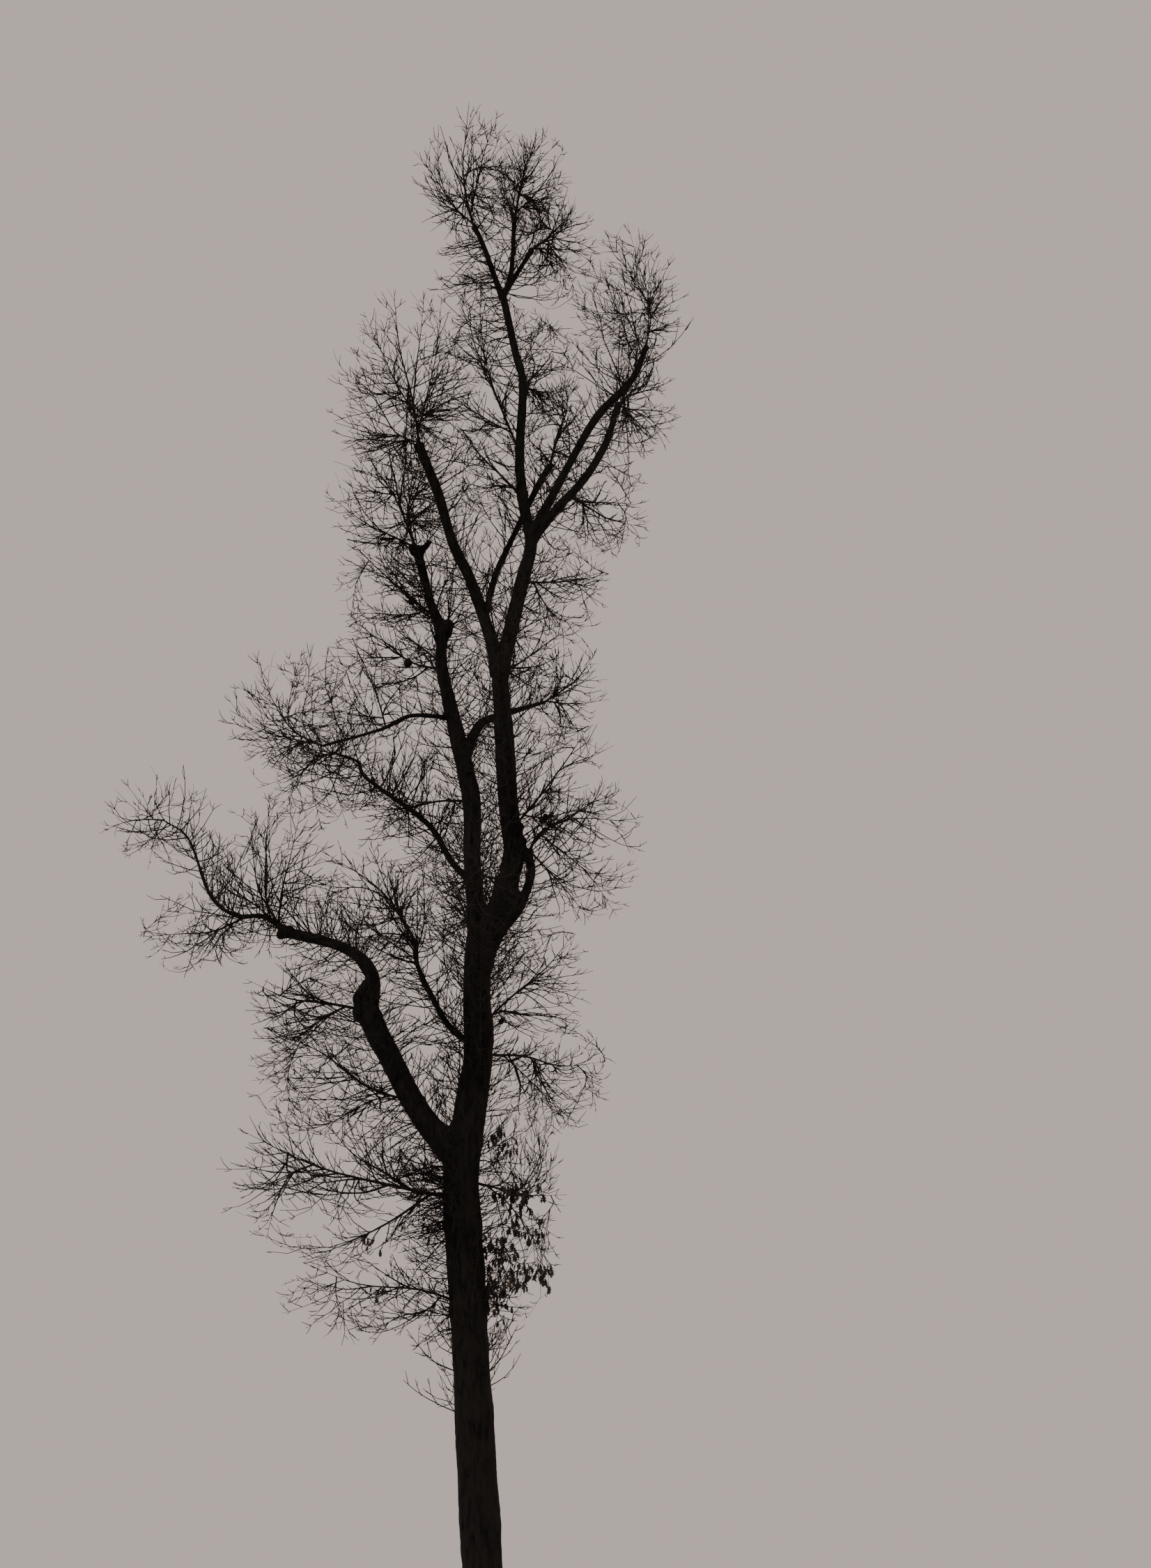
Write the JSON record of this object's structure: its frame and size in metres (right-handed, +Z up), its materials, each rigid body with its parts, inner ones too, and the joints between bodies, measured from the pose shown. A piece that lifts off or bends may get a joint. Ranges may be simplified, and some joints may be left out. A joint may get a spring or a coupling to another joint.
{
  "type": "bare winter tree",
  "caption": "Tall bare broadleaf tree with a leaning trunk, a low side bough, twin upper stems, knuckled limb ends and open fans of crooked winter twigs.",
  "frame": {"origin": "middle of the flat cut under the trunk, at ground level", "axes": "+Z up along the tree's height; +X to the right and +Y away from the viewer of the pictured side"},
  "size_m": [9.9709, 7.6988, 27.2045],
  "materials": {
    "trunk_bark": "dark grey-brown furrowed bark, dry and matte",
    "limb_bark": "dark grey-brown bark, finer and smoother than the trunk's, matte",
    "twigs": "thin dull brown winter twigs, matte",
    "withered_leaf": "dry brown leaves that stayed on the low shoots, matte"
  },
  "bodies": {
    "root": {"back_lower_limb": "limb_bark", "back_upper_limb": "limb_bark", "bridge_limb": "limb_bark", "cross_limb": "limb_bark", "front_lower_limb": "limb_bark", "front_upper_limb": "limb_bark", "inner_stem": "limb_bark", "knee_limb": "limb_bark", "leader_stem": "limb_bark", "left_bough_elbow": "limb_bark", "left_bough_lower": "limb_bark", "left_bough_tip": "limb_bark", "left_stem": "limb_bark", "lower_middle_limb": "limb_bark", "middle_left_limb": "limb_bark", "right_stem": "limb_bark", "top_left_arm": "limb_bark", "top_middle_arm": "limb_bark", "top_right_arm": "limb_bark", "trunk": "trunk_bark", "twigs_back_lower": "twigs", "twigs_back_upper": "twigs", "twigs_bough_low": "twigs", "twigs_bough_tip": "twigs", "twigs_bough_under": "twigs", "twigs_bough_upper": "twigs", "twigs_bridge": "twigs", "twigs_cross_limb": "twigs", "twigs_fork_right": "twigs", "twigs_front_lower": "twigs", "twigs_front_upper": "twigs", "twigs_inner_stem": "twigs", "twigs_knee": "twigs", "twigs_knuckle": "twigs", "twigs_leader_left": "twigs", "twigs_leader_low": "twigs", "twigs_leader_right": "twigs", "twigs_leafy": "twigs", "twigs_left_stem_low": "twigs", "twigs_left_stem_side": "twigs", "twigs_left_stem_top": "twigs", "twigs_low_left": "twigs", "twigs_lower_middle": "twigs", "twigs_middle_left": "twigs", "twigs_middle_left_under": "twigs", "twigs_right_limb": "twigs", "twigs_right_low": "twigs", "twigs_right_middle": "twigs", "twigs_right_upper": "twigs", "twigs_top_left": "twigs", "twigs_top_middle": "twigs", "twigs_top_right": "twigs", "twigs_trunk_left": "twigs", "twigs_upper_left_inner": "twigs", "twigs_upper_left_outer": "twigs", "twigs_upper_right_back": "twigs", "twigs_upper_right_front": "twigs", "upper_left_limb": "limb_bark", "upper_right_back_limb": "limb_bark", "upper_right_front_limb": "limb_bark"}
  },
  "joints": []
}
